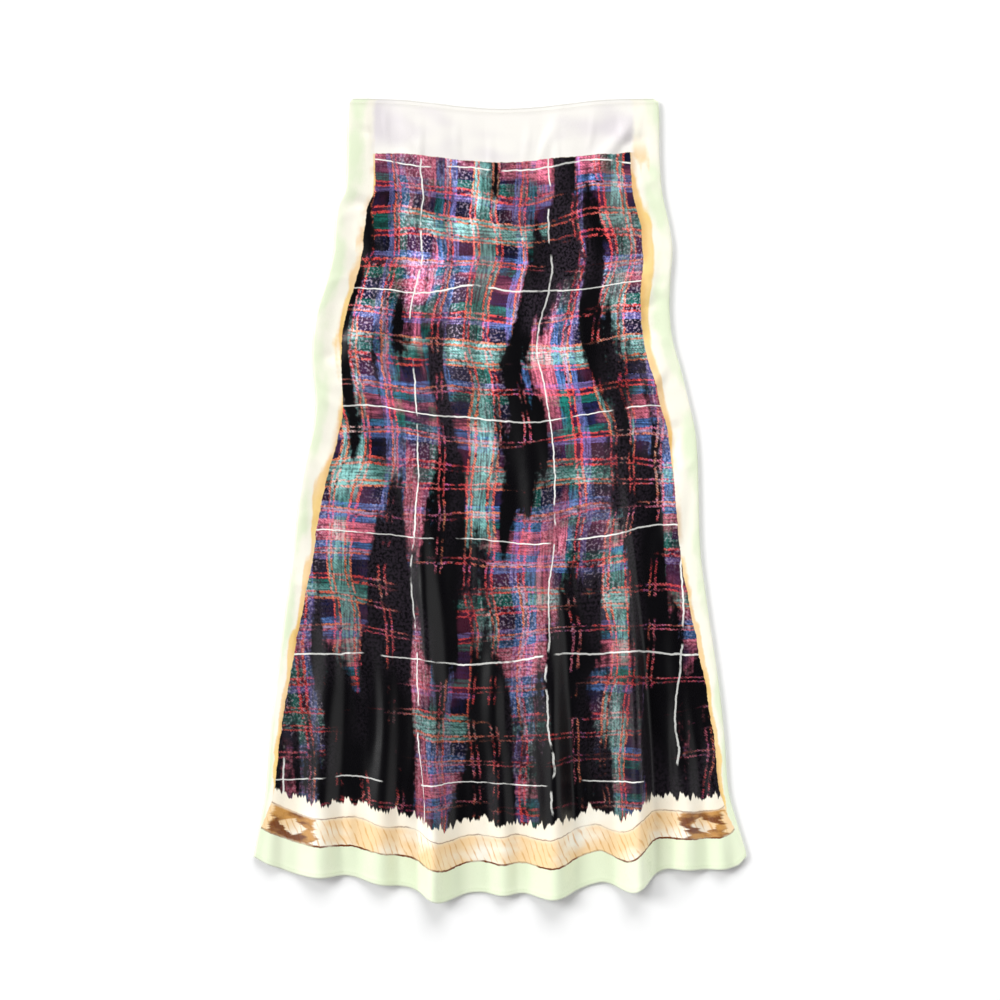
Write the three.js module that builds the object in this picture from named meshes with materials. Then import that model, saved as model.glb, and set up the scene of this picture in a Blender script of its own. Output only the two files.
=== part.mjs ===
// A midi skirt of light satin, laid flat: a front panel lying on a back panel, joined at the two
// side seams and open at the waist and the hem. The cloth is cut flared, so the front stands in
// soft flutes that start below the hips and are tallest at the hem.
// Millimetres, +Z up. X runs across the skirt, +Y points to the waist, and the origin is on the
// surface that the skirt lies on, under the middle of its outline.
import * as THREE from "three";

// Driving sizes
const SKIRT_LENGTH = 897; // from the waist corners to the lowest point of the hem
const SEAM_LENGTH = 847; // from the waist corners to the hem corners, along Y
const WALL = 1.2; // thickness of the cloth wall
const SEAM_GAP = 0.3; // between the two panels' edges at a side seam
const LAID_GAP = 1; // between the two panels where they lie on each other
const EDGE_RADIUS = 2.4; // how round the cloth turns at a side seam
const EDGE_EASE = 16; // how far from a side seam the front panel settles down
const FOLD_FADE = 22; // how far from a side seam the folds have their full height
const WAIST_DIP = 11; // how far the waist edge dips between its corners
const WAIST_FLAT = 0.08; // share of the width beside each corner where the waist edge lies straight
const WAIST_RISE = 2.5; // how far the front lifts off the back at the waist
const WAIST_RISE_REACH = 70;
const BACK_LIFT = 0.25; // share of a flute's height that the back panel takes up under it
const BACK_WIDTH = 0.75; // share of a flute's width that the back panel rises in
const FLUTE_START_WIDTH = 0.75; // width of a flute where it starts, as a share of its width at the hem
const HANG_WIDTH = 1.5; // width of the hem's dip under a flute, as a share of the flute's width
const CREASE_LEAN = 0.2;

// Heights of the middle of the cloth wall
const BACK_LEVEL = WALL / 2;
const FRONT_LEVEL = BACK_LEVEL + WALL + LAID_GAP;
const SEAM_LEVEL = BACK_LEVEL + EDGE_RADIUS + SEAM_GAP / 2;

// Steps of the cloth grids
const EDGE_STEPS = 3; // round each side seam
const FRONT_GRID = { across: 76, down: 23 };
const BACK_GRID = { across: 36, down: 23 };
const SECTION_SAMPLES = 700; // fine steps that the arc length of a section is measured with
const CORNER_ROWS = [4, 14]; // rows close to the waist and the hem, for the rounded corners

// The side seams: how far left and right of the centre line they lie, by distance down from the
// waist corners. They wander, because bias-cut satin doesn't lie straight.
const SIDES = [
  { down: 0, left: 166, right: 172 },
  { down: 4, left: 170, right: 177 },
  { down: 67, left: 171, right: 178.5 },
  { down: 101, left: 173.5, right: 181 },
  { down: 118, left: 181, right: 184 },
  { down: 140, left: 184.5, right: 189 },
  { down: 168, left: 186, right: 193 },
  { down: 202, left: 194, right: 190.5 },
  { down: 235, left: 204.5, right: 189.5 },
  { down: 269, left: 209.5, right: 193 },
  { down: 302, left: 209, right: 202 },
  { down: 336, left: 206, right: 210.5 },
  { down: 370, left: 209.5, right: 218 },
  { down: 403, left: 217.5, right: 221 },
  { down: 437, left: 224, right: 222 },
  { down: 504, left: 231, right: 224 },
  { down: 571, left: 240, right: 232.5 },
  { down: 638, left: 248.5, right: 242.5 },
  { down: 706, left: 256.5, right: 250.5 },
  { down: 773, left: 262, right: 255.5 },
  { down: 806, left: 268, right: 264 },
  { down: 840, left: 274.5, right: 274.5 },
  { down: 847, left: 275.5, right: 275.5 },
];

// The hem between the flutes: how far it sags below the hem corners, by place across.
const HEM_SAG = [
  { across: -275.5, sag: 0 },
  { across: -267, sag: 5 },
  { across: -253, sag: 11 },
  { across: -232, sag: 18 },
  { across: -205, sag: 20 },
  { across: -174, sag: 21 },
  { across: -140, sag: 26 },
  { across: -101, sag: 35 },
  { across: -60, sag: 42 },
  { across: -17, sag: 40 },
  { across: 19, sag: 40 },
  { across: 65, sag: 41 },
  { across: 109, sag: 30 },
  { across: 140, sag: 22 },
  { across: 178, sag: 15 },
  { across: 223, sag: 15 },
  { across: 251, sag: 14 },
  { across: 266, sag: 10 },
  { across: 275.5, sag: 0 },
];

// Flutes: each starts flat at a point on the panel, grows down to the hem, and hangs a little
// below the hem line. The lean moves its crest to one side: above 0 its right flank is steeper.
const FLUTES = [
  { startX: -212, startDown: 520, hemX: -258, width: 17, height: 6, lean: -0.2, hang: 0 },
  { startX: -166, startDown: 410, hemX: -204, width: 29, height: 13, lean: 0.2, hang: 3 },
  { startX: -124, startDown: 520, hemX: -137, width: 25, height: 10, lean: 0.3, hang: 4 },
  { startX: -98, startDown: 300, hemX: -68, width: 25, height: 25, lean: -0.5, hang: 8 },
  { startX: -26, startDown: 480, hemX: 3, width: 19, height: 8, lean: 0.1, hang: 4 },
  { startX: 18, startDown: 200, hemX: 58, width: 30, height: 21, lean: 0.25, hang: 5 },
  { startX: 104, startDown: 260, hemX: 149, width: 26, height: 26, lean: 0.5, hang: 18 },
  { startX: 176, startDown: 430, hemX: 212, width: 22, height: 9, lean: -0.2, hang: 0 },
  { startX: 206, startDown: 600, hemX: 247, width: 18, height: 7, lean: 0.2, hang: 0 },
];

// Soft creases in the body of the skirt: each rises and falls away between its two ends.
const CREASES = [
  { x1: -176, down1: 96, x2: -104, down2: 262, width: 22, height: 3.5 },
  { x1: -202, down1: 330, x2: -92, down2: 176, width: 24, height: 4.5 },
  { x1: -203, down1: 352, x2: -146, down2: 520, width: 25, height: 5 },
  { x1: -224, down1: 470, x2: -176, down2: 680, width: 21, height: 4 },
  { x1: -112, down1: 6, x2: -78, down2: 190, width: 20, height: 2.5 },
  { x1: -22, down1: 70, x2: -58, down2: 390, width: 24, height: 4.5 },
  { x1: 8, down1: 500, x2: -24, down2: 740, width: 20, height: 4 },
  { x1: 66, down1: 130, x2: 84, down2: 430, width: 24, height: 4 },
  { x1: 146, down1: 6, x2: 72, down2: 150, width: 20, height: 3 },
  { x1: 182, down1: 130, x2: 128, down2: 300, width: 22, height: 3.5 },
  { x1: 186, down1: 250, x2: 140, down2: 400, width: 23, height: 5 },
  { x1: 214, down1: 360, x2: 172, down2: 560, width: 25, height: 5 },
];

const TOP = SKIRT_LENGTH / 2; // Y of the waist corners

const smooth = (t) => t * t * (3 - 2 * t);
const clamp01 = (t) => Math.min(1, Math.max(0, t));
const mix = (a, b, t) => a + (b - a) * t;

// Reads a column of a table at a place between its rows, on a smooth curve through them.
function tableAt(rows, key, column, place) {
  const last = rows.length - 1;
  const at = Math.min(rows[last][key], Math.max(rows[0][key], place));
  let i = 0;
  while (i < last - 1 && rows[i + 1][key] < at) i++;
  const slope = (k) => {
    const a = rows[Math.max(0, k - 1)];
    const b = rows[Math.min(last, k + 1)];
    return (b[column] - a[column]) / (b[key] - a[key]);
  };
  const span = rows[i + 1][key] - rows[i][key];
  const t = (at - rows[i][key]) / span;
  return (
    rows[i][column] * (2 * t ** 3 - 3 * t ** 2 + 1) +
    slope(i) * span * (t ** 3 - 2 * t ** 2 + t) +
    rows[i + 1][column] * (3 * t ** 2 - 2 * t ** 3) +
    slope(i + 1) * span * (t ** 3 - t ** 2)
  );
}

const leftEdge = (down) => -tableAt(SIDES, "down", "left", down);
const rightEdge = (down) => tableAt(SIDES, "down", "right", down);

// A rounded ridge across its width: 1 at the crest, 0 at both feet, crest pushed over by the lean.
function ridge(offset, halfWidth, lean) {
  const s = offset / halfWidth;
  if (Math.abs(s) >= 1) return 0;
  const pushed = s - lean * (1 - s * s) * 0.5;
  return Math.cos((Math.PI / 2) * pushed) ** 2;
}

// Height of one flute above the laid cloth. It is narrow where it starts and widest at the hem.
function fluteHeight(flute, x, down, lean, widthShare) {
  const grown = clamp01((down - flute.startDown) / (SEAM_LENGTH - flute.startDown));
  const centre = mix(flute.startX, flute.hemX, Math.sin((Math.PI / 2) * grown));
  const halfWidth = flute.width * mix(FLUTE_START_WIDTH, 1, grown) * widthShare;
  return flute.height * smooth(grown) * ridge(x - centre, halfWidth, lean);
}

// Height of one crease above the laid cloth.
function creaseHeight(crease, x, down) {
  const runX = crease.x2 - crease.x1;
  const runDown = crease.down2 - crease.down1;
  const length = Math.hypot(runX, runDown);
  const along = ((x - crease.x1) * runX + (down - crease.down1) * runDown) / length ** 2;
  const off = ((x - crease.x1) * runDown - (down - crease.down1) * runX) / length;
  const swell = Math.sin(Math.PI * clamp01(along)) ** 2;
  return crease.height * swell * ridge(off, crease.width, CREASE_LEAN);
}

const flutesAt = (x, down) =>
  FLUTES.reduce((sum, f) => sum + fluteHeight(f, x, down, f.lean, 1), 0);
const flutesUnder = (x, down) =>
  FLUTES.reduce((sum, f) => sum + fluteHeight(f, x, down, 0, BACK_WIDTH), 0);
const creasesAt = (x, down) => CREASES.reduce((sum, c) => sum + creaseHeight(c, x, down), 0);

function frontLevel(x, down) {
  const atWaist = Math.exp(-((down / WAIST_RISE_REACH) ** 2));
  return FRONT_LEVEL + WAIST_RISE * atWaist + flutesAt(x, down) + creasesAt(x, down);
}

const backLevel = (x, down) => BACK_LEVEL + BACK_LIFT * flutesUnder(x, down);

// How far down from the waist corners the waist edge lies, by share across.
function waistEdge(share) {
  const between = clamp01((share - WAIST_FLAT) / (1 - 2 * WAIST_FLAT));
  return WAIST_DIP * (0.5 - 0.5 * Math.cos(2 * Math.PI * between));
}

// How far down the hem edge lies at a place across.
function hemEdge(x) {
  const hang = FLUTES.reduce(
    (sum, f) => sum + f.hang * ridge(x - f.hemX, f.width * HANG_WIDTH, 0),
    0,
  );
  return SEAM_LENGTH + tableAt(HEM_SAG, "across", "sag", x) + hang;
}

// One point of the cloth: side is 1 for the front and -1 for the back, seamDown is the row's
// distance down the side seams, x is the place across, and z the height of the wall's middle.
function clothPoint(seamDown, x, z) {
  const left = leftEdge(seamDown);
  const right = rightEdge(seamDown);
  const top = waistEdge((x - left) / (right - left));
  const hemX = mix(leftEdge(SEAM_LENGTH), rightEdge(SEAM_LENGTH), (x - left) / (right - left));
  const down = mix(top, hemEdge(hemX), seamDown / SEAM_LENGTH);
  return new THREE.Vector3(x, TOP - down, z);
}

// The section of a panel along one row, from the left seam to the right seam, in fine steps.
// It turns round at each seam, up for the front and down for the back.
function section(seamDown, level, side) {
  const left = leftEdge(seamDown);
  const right = rightEdge(seamDown);
  const turnTop = SEAM_LEVEL + side * (SEAM_GAP / 2 + EDGE_RADIUS);
  const turn = Array.from({ length: EDGE_STEPS + 1 }, (_, i) => {
    const angle = ((Math.PI / 2) * i) / EDGE_STEPS;
    return {
      inward: EDGE_RADIUS * (1 - Math.cos(angle)),
      z: SEAM_LEVEL + side * (SEAM_GAP / 2 + EDGE_RADIUS * Math.sin(angle)),
    };
  });
  const points = turn.map((p) => clothPoint(seamDown, left + p.inward, p.z));
  for (let i = 1; i < SECTION_SAMPLES; i++) {
    const x = mix(left + EDGE_RADIUS, right - EDGE_RADIUS, i / SECTION_SAMPLES);
    const inside = Math.min(x - left, right - x) - EDGE_RADIUS;
    const settled = side > 0 ? 1 - Math.exp(-((inside / EDGE_EASE) ** 2)) : 1;
    const flat = side > 0 ? FRONT_LEVEL : BACK_LEVEL;
    const folds = (level(x, seamDown) - flat) * smooth(clamp01(inside / FOLD_FADE));
    points.push(clothPoint(seamDown, x, mix(turnTop, flat, settled) + folds));
  }
  points.push(...turn.toReversed().map((p) => clothPoint(seamDown, right - p.inward, p.z)));
  return points;
}

// Points at equal lengths of cloth across a section, with the turns at the seams kept.
function evenPoints(points, across) {
  const inner = points.slice(EDGE_STEPS, points.length - EDGE_STEPS);
  const lengths = [0];
  for (let i = 1; i < inner.length; i++) {
    const step = inner[i].clone().sub(inner[i - 1]);
    lengths.push(lengths[i - 1] + Math.hypot(step.x, step.z));
  }
  const total = lengths.at(-1);
  const even = [];
  for (let i = 0, k = 0; i <= across; i++) {
    const at = (total * i) / across;
    while (k < inner.length - 2 && lengths[k + 1] < at) k++;
    const t = (at - lengths[k]) / (lengths[k + 1] - lengths[k]);
    even.push(inner[k].clone().lerp(inner[k + 1], clamp01(t)));
  }
  return [...points.slice(0, EDGE_STEPS), ...even, ...points.slice(-EDGE_STEPS)];
}

// Distances down the side seams of the rows of a grid.
function rowsDown(count) {
  const near = CORNER_ROWS;
  const far = near.toReversed().map((d) => SEAM_LENGTH - d);
  const steps = count - 2 * near.length - 1;
  const middle = Array.from({ length: steps }, (_, i) =>
    mix(near.at(-1), far[0], (i + 1) / (steps + 1)),
  );
  return [0, ...near, ...middle, ...far, SEAM_LENGTH];
}

// The direction out of the cloth's upper side at a point of the grid.
function upperNormal(grid, row, column) {
  const rowAt = (r) => grid[Math.min(grid.length - 1, Math.max(0, r))];
  const line = grid[row];
  const before = line[Math.max(0, column - 1)];
  const after = line[Math.min(line.length - 1, column + 1)];
  const acrossCloth = after.clone().sub(before);
  const upCloth = rowAt(row - 1)[column].clone().sub(rowAt(row + 1)[column]);
  const normal = acrossCloth.cross(upCloth);
  const atSeam = column === 0 || column === line.length - 1;
  if (atSeam) normal.z = 0; // the cloth stands upright at a seam
  return normal.normalize();
}

// A closed cloth wall round the grid of its middle points.
function clothWall(grid) {
  const columns = grid[0].length;
  const layer = grid.length * columns;
  const positions = [];
  for (const offset of [WALL / 2, -WALL / 2]) {
    grid.forEach((line, row) =>
      line.forEach((point, column) => {
        const moved = point.clone().addScaledVector(upperNormal(grid, row, column), offset);
        positions.push(moved.x, moved.y, moved.z);
      }),
    );
  }
  const faces = [];
  const rise = (a, b) => Math.abs(positions[3 * a + 2] - positions[3 * b + 2]);
  // Two triangles, split along the diagonal that rises less, so that folds keep a clean crest.
  function quad(a, b, c, d) {
    if (rise(a, c) <= rise(b, d)) faces.push(a, b, c, a, c, d);
    else faces.push(a, b, d, b, c, d);
  }
  const upper = (row, column) => row * columns + column;
  const lower = (row, column) => layer + upper(row, column);
  const lastRow = grid.length - 1;
  const lastColumn = columns - 1;
  for (let r = 0; r < lastRow; r++) {
    for (let c = 0; c < lastColumn; c++) {
      quad(upper(r, c), upper(r + 1, c), upper(r + 1, c + 1), upper(r, c + 1));
      quad(lower(r, c), lower(r, c + 1), lower(r + 1, c + 1), lower(r + 1, c));
    }
    quad(upper(r, 0), lower(r, 0), lower(r + 1, 0), upper(r + 1, 0));
    quad(
      upper(r, lastColumn),
      upper(r + 1, lastColumn),
      lower(r + 1, lastColumn),
      lower(r, lastColumn),
    );
  }
  for (let c = 0; c < lastColumn; c++) {
    quad(upper(0, c), upper(0, c + 1), lower(0, c + 1), lower(0, c));
    quad(upper(lastRow, c), lower(lastRow, c), lower(lastRow, c + 1), upper(lastRow, c + 1));
  }
  const geometry = new THREE.BufferGeometry();
  geometry.setAttribute("position", new THREE.Float32BufferAttribute(positions, 3));
  geometry.setIndex(faces);
  geometry.computeVertexNormals();
  return geometry;
}

function panel(name, level, side, steps, material) {
  const grid = rowsDown(steps.down).map((down) =>
    evenPoints(section(down, level, side), steps.across),
  );
  const mesh = new THREE.Mesh(clothWall(grid), material);
  mesh.name = name;
  return mesh;
}

const satin = new THREE.MeshStandardMaterial({
  name: "satin",
  color: 0x3a3848,
  roughness: 0.42,
  metalness: 0,
});

const skirt = new THREE.Group();
skirt.add(panel("front_panel", frontLevel, 1, FRONT_GRID, satin));
skirt.add(panel("back_panel", backLevel, -1, BACK_GRID, satin.clone()));

export default skirt;
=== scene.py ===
import math

import bpy
import numpy as np
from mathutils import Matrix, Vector


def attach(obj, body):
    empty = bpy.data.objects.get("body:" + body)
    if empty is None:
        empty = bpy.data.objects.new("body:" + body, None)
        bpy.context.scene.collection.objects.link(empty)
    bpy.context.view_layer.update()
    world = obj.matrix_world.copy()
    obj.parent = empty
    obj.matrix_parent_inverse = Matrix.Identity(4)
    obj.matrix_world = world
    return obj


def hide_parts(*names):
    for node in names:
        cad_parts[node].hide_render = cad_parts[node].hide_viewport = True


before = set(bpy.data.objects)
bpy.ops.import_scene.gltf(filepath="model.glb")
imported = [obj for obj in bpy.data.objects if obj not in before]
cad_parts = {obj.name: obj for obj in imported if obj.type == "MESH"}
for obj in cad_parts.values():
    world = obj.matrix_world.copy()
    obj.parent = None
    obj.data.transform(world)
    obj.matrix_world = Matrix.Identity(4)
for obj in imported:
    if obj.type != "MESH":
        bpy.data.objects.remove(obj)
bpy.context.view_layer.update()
mm = 0.001  # tables and dictionaries are in millimetres, and meshes in metres


# Camera: straight above the skirt, as a flat garment is shown

cameraPlan = {"lens": 85, "sensorWidth": 36, "shownWidth": 1120}


def addObject(name, data):
    thing = bpy.data.objects.new(name, data)
    bpy.context.collection.objects.link(thing)
    return thing


def makeCamera():
    data = bpy.data.cameras.new("skirtCamera")
    data.lens = cameraPlan["lens"]
    data.sensor_width = cameraPlan["sensorWidth"]
    camera = addObject("skirtCamera", data)
    camera.location = (0, 0, cameraPlan["shownWidth"] * mm * data.lens / data.sensor_width)
    bpy.context.scene.camera = camera


makeCamera()
print("camera made")


# The cloth's form: the same cut and folds as the CAD panels

skirtCut = {
    "length": 897,  # waist corners to the lowest point of the hem
    "seamLength": 847,  # waist corners to the hem corners
    "waistDip": 11,  # how far the waist edge dips between its corners
    "waistFlat": 0.08,  # share of the width beside each corner where it lies straight
    "hangWidth": 1.5,  # how much wider than a flute its lobe at the hem is
    "flareInPrint": 0.45,  # how much of the flare the print takes up, 0 to 1
}

# distance down, left and right reach of the side seams
sideSeams = np.array([
    (0, 166, 172), (4, 170, 177), (67, 171, 178.5), (101, 173.5, 181), (118, 181, 184),
    (140, 184.5, 189), (168, 186, 193), (202, 194, 190.5), (235, 204.5, 189.5), (269, 209.5, 193),
    (302, 209, 202), (336, 206, 210.5), (370, 209.5, 218), (403, 217.5, 221), (437, 224, 222),
    (504, 231, 224), (571, 240, 232.5), (638, 248.5, 242.5), (706, 256.5, 250.5), (773, 262, 255.5),
    (806, 268, 264), (840, 274.5, 274.5), (847, 275.5, 275.5),
])

# place across, sag of the hem there
hemSag = np.array([
    (-275.5, 0), (-267, 5), (-253, 11), (-232, 18), (-205, 20), (-174, 21), (-140, 26),
    (-101, 35), (-60, 42), (-17, 40), (19, 40), (65, 41), (109, 30), (140, 22), (178, 15),
    (223, 15), (251, 14), (266, 10), (275.5, 0),
])

# start across, start down, place at the hem, width, height, lean, hang
flutes = [
    (-212, 520, -258, 17, 6, -0.2, 0),
    (-166, 410, -204, 29, 13, 0.2, 3),
    (-124, 520, -137, 25, 10, 0.3, 4),
    (-98, 300, -68, 25, 25, -0.5, 8),
    (-26, 480, 3, 19, 8, 0.1, 4),
    (18, 200, 58, 30, 21, 0.25, 5),
    (104, 260, 149, 26, 26, 0.5, 18),
    (176, 430, 212, 22, 9, -0.2, 0),
    (206, 600, 247, 18, 7, 0.2, 0),
]

# from across, down to across, down, width, height
bodyCreases = [
    (-176, 96, -104, 262, 22, 3.5), (-202, 330, -92, 176, 24, 4.5), (-203, 352, -146, 520, 25, 5),
    (-224, 470, -176, 680, 21, 4), (-112, 6, -78, 190, 20, 2.5), (-22, 70, -58, 390, 24, 4.5),
    (8, 500, -24, 740, 20, 4), (66, 130, 84, 430, 24, 4), (146, 6, 72, 150, 20, 3),
    (182, 130, 128, 300, 22, 3.5), (186, 250, 140, 400, 23, 5), (214, 360, 172, 560, 25, 5),
]

# small soft creases that only the fine cloth has; a height below 0 is a trough
# from across, down to across, down, width, height, lean, bow to one side
fineCreases = [
    (-158, 2, -146, 74, 7, 1.0, 0.3, 3), (-128, 4, -122, 52, 6, 0.8, -0.3, -2),
    (-92, 6, -98, 96, 8, 1.2, 0.4, 4), (-48, 10, -44, 62, 7, 0.8, 0.2, -3),
    (-12, 12, -16, 110, 8, 1.1, -0.4, 5), (30, 12, 24, 70, 7, 0.8, 0.3, 2),
    (62, 9, 74, 118, 8, 1.2, 0.3, -5), (104, 6, 96, 60, 6, 0.8, 0.2, 2),
    (132, 5, 142, 92, 8, 1.1, -0.3, 4), (160, 2, 152, 66, 7, 0.9, 0.3, -3),
    (-192, 150, -112, 226, 11, 1.9, 0.5, 9), (-198, 222, -92, 248, 12, -1.8, 0.4, 12),
    (-206, 268, -118, 236, 10, 1.6, 0.5, -9), (-208, 318, -120, 346, 12, 1.9, 0.4, 14),
    (-206, 352, -150, 420, 11, -1.7, 0.3, -9), (186, 190, 116, 214, 11, 1.8, 0.4, -10),
    (188, 236, 96, 276, 12, -1.8, 0.5, 12), (196, 276, 132, 334, 10, 1.9, 0.4, 9),
    (208, 318, 158, 424, 12, -2.2, 0.5, 12), (-60, 190, -8, 330, 14, 2.6, 0.5, 16),
    (16, 232, -34, 392, 12, -2.2, 0.5, -14), (40, 84, 50, 226, 12, 2.0, -0.4, -9),
    (-150, 280, -112, 462, 13, 2.6, 0.5, 15), (-128, 356, -82, 540, 12, -2.3, 0.4, -12),
    (-192, 540, -160, 712, 13, 2.1, 0.4, 10), (-234, 600, -216, 776, 10, 1.7, 0.3, 5),
    (-44, 382, -28, 580, 13, 2.5, -0.5, 14), (34, 352, 24, 566, 12, -2.3, 0.5, 12),
    (74, 400, 100, 612, 13, 2.7, 0.5, -14), (122, 430, 104, 650, 12, 2.3, -0.4, 10),
    (162, 400, 182, 630, 13, -2.4, 0.4, 12), (210, 450, 226, 650, 11, 1.9, 0.3, -8),
    (-104, 600, -112, 806, 12, 2.2, 0.4, 9), (-38, 610, -32, 820, 13, -2.3, 0.4, -10),
    (22, 630, 32, 826, 11, 1.9, -0.3, 8), (96, 650, 104, 836, 13, 2.2, 0.4, -9),
    (184, 640, 188, 812, 11, 1.9, 0.3, 8), (236, 680, 234, 806, 9, 1.4, 0.3, 4),
    (-178, 720, -172, 844, 10, 1.6, 0.3, 5), (-70, 60, -120, 236, 13, 2.1, 0.5, -13),
    (112, 96, 150, 236, 12, -1.9, 0.4, 10), (-8, 560, 14, 700, 11, 1.8, 0.4, 8),
    (60, 560, 54, 742, 11, -1.9, 0.4, -8), (146, 560, 138, 760, 11, 1.8, 0.4, 9),
    (-146, 590, -150, 770, 11, -1.9, 0.3, 8), (-178, 112, -126, 128, 8, -2.2, 0.3, 4),
    (-176, 34, -132, 44, 7, -1.5, 0.3, 3), (-214, 296, -168, 282, 9, -1.9, 0.3, 4),
    (180, 40, 120, 58, 9, -1.8, 0.4, -5), (194, 214, 150, 228, 8, -1.9, 0.3, 4),
    (214, 352, 178, 362, 8, -1.7, 0.3, 3), (152, 6, 104, 70, 12, 2.2, 0.5, 6),
    (70, 8, 44, 76, 11, 1.6, -0.4, -4), (-120, 8, -84, 66, 11, 1.7, 0.4, -5),
]

clothLay = {
    "thickness": 0.4,
    "layGap": 2.05,  # the front's middle above the back's upper side
    "lowest": 0.95,  # level of the front's middle where a trough rests on the back
    "restEase": 0.9,  # how softly it comes to rest
    "edgeRadius": 2.7,  # how round the cloth turns at a side seam
    "edgeEase": 16,  # how far from a side seam the front settles down
    "foldFade": 22,  # how far from a side seam the folds have their full height
    "seamLevel": 3.0,
    "seamGap": 0.2,
    "lipLift": 0.15,  # how far the turned-in cloth lies from the seam's level
    "lipStart": 0.5,  # and where it leaves the seam
    "allowance": 8,  # cloth turned in at a side seam
    "waistRise": 2.5,  # how far the front lifts off the back at the waist
    "waistReach": 70,
    "backLift": 0.25,  # share of a flute's height that the back takes up under it
    "backWidth": 0.75,  # and of its width
    "fluteStart": 0.75,  # share of its width that a flute starts with
    "creaseLean": 0.2,  # how far the long creases lean to one side
    "swell": 0.55,  # height of the slow unevenness of the laid cloth
    "hemBand": 6.5,  # width of the turned hem and waist edge
    "hemStep": 0.8,  # width of the step beside that band
    "hemThickness": 0.55,  # what the turned cloth adds
    "hemOutward": 0.25,  # share of it that shows on the outer side
}


def clamped(t):
    return np.clip(t, 0, 1)


def smooth(t):
    t = clamped(t)
    return t * t * (3 - 2 * t)


def mix(a, b, t):
    return a + (b - a) * t


def curveThrough(places, values, at):
    # smooth curve through a table's points, read at any places
    slopes = np.empty(len(places))
    slopes[1:-1] = (values[2:] - values[:-2]) / (places[2:] - places[:-2])
    slopes[0] = (values[1] - values[0]) / (places[1] - places[0])
    slopes[-1] = (values[-1] - values[-2]) / (places[-1] - places[-2])
    at = np.clip(at, places[0], places[-1])
    i = np.clip(np.searchsorted(places, at) - 1, 0, len(places) - 2)
    span = places[i + 1] - places[i]
    t = (at - places[i]) / span
    return (
        values[i] * (2 * t**3 - 3 * t**2 + 1)
        + slopes[i] * span * (t**3 - 2 * t**2 + t)
        + values[i + 1] * (3 * t**2 - 2 * t**3)
        + slopes[i + 1] * span * (t**3 - t**2)
    )


def ridge(offset, halfWidth, lean):
    s = np.clip(offset / halfWidth, -1, 1)
    return np.cos(math.pi / 2 * (s - lean * (1 - s * s) * 0.5)) ** 2


def fluteHeights(x, down, widthShare, leanShare):
    total = np.zeros_like(x)
    for startX, startDown, hemX, width, height, lean, _ in flutes:
        grown = clamped((down - startDown) / (skirtCut["seamLength"] - startDown))
        centre = mix(startX, hemX, np.sin(math.pi / 2 * grown))
        halfWidth = width * mix(clothLay["fluteStart"], 1, grown) * widthShare
        total += height * smooth(grown) * ridge(x - centre, halfWidth, lean * leanShare)
    return total


def creaseHeights(creases, x, down):
    total = np.zeros_like(x)
    for x1, down1, x2, down2, width, height, lean, bow in creases:
        length = math.hypot(x2 - x1, down2 - down1)
        runX, runDown = (x2 - x1) / length, (down2 - down1) / length
        along = ((x - x1) * runX + (down - down1) * runDown) / length
        arch = np.sin(math.pi * clamped(along))
        off = (x - x1) * runDown - (down - down1) * runX - bow * arch
        total += height * arch**2 * ridge(off, width, lean)
    return total


# across and down waves in a metre, phase: slow uneven waves, mostly along the skirt
swellWaves = [
    (11, 2.3, 0.4), (-17, 3.9, 2.1), (23, -2.6, 5.0), (7, 6.2, 3.3), (-29, 5.3, 1.2), (15, -7.7, 4.4),
]


def swellHeights(x, down):
    waves = sum(np.sin(2 * math.pi * (a * x + b * down) * mm + p) for a, b, p in swellWaves)
    return clothLay["swell"] * waves / 2


# places down the seams of the small tucks that the stitching draws in: left seam, right seam
seamTucks = (
    (96, 131, 158, 203, 226, 262, 331, 352, 398, 466, 487, 541, 612, 634, 705, 748),
    (88, 117, 171, 214, 247, 268, 316, 359, 402, 421, 493, 556, 577, 651, 690, 771),
)

tuckPlan = {
    "height": 0.9,
    "reach": 34,  # how far the largest one runs in from the seam
    "size": 0.55,  # their usual size as a share of the largest
    "variety": 0.45,  # how much the sizes differ
    "turn": 2.4,  # from one tuck's size to the next, in radians
    "slant": 0.35,
    "width": 5,
    "growth": 4,  # how much wider the largest one is
    "fadeIn": 4,  # how far from the seam they have their full height
}


def tuckHeights(inside, down, side):
    total = np.zeros_like(inside)
    for number, tuck in enumerate(seamTucks[side]):
        size = tuckPlan["size"] + tuckPlan["variety"] * math.sin(number * tuckPlan["turn"] + side)
        slant = tuckPlan["slant"] * (1 - 2 * (number % 2))
        width = tuckPlan["width"] + tuckPlan["growth"] * size
        shape = np.exp(-((inside / (tuckPlan["reach"] * size)) ** 2))
        total += size * shape * ridge(down - tuck - slant * inside, width, 0)
    return tuckPlan["height"] * total * smooth(inside / tuckPlan["fadeIn"])


def waistEdge(share):
    flat = skirtCut["waistFlat"]
    between = clamped((share - flat) / (1 - 2 * flat))
    return skirtCut["waistDip"] * (0.5 - 0.5 * np.cos(2 * math.pi * between))


def hemEdge(x):
    hang = sum(h * ridge(x - hemX, w * skirtCut["hangWidth"], 0) for _, _, hemX, w, _, _, h in flutes)
    return skirtCut["seamLength"] + curveThrough(hemSag[:, 0], hemSag[:, 1], x) + hang


def seamsAt(down):
    left, right = (curveThrough(sideSeams[:, 0], sideSeams[:, k], down) for k in (1, 2))
    return -left, right


def frontHeights(x, down):
    level = clothLay["thickness"] + clothLay["layGap"]
    raised = clothLay["waistRise"] * np.exp(-((down / clothLay["waistReach"]) ** 2))
    longCreases = [(*row, clothLay["creaseLean"], 0) for row in bodyCreases]
    folds = fluteHeights(x, down, 1, 1) + creaseHeights(longCreases, x, down)
    fine = creaseHeights(fineCreases, x, down) + swellHeights(x, down)
    return level, raised + folds + fine


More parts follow.
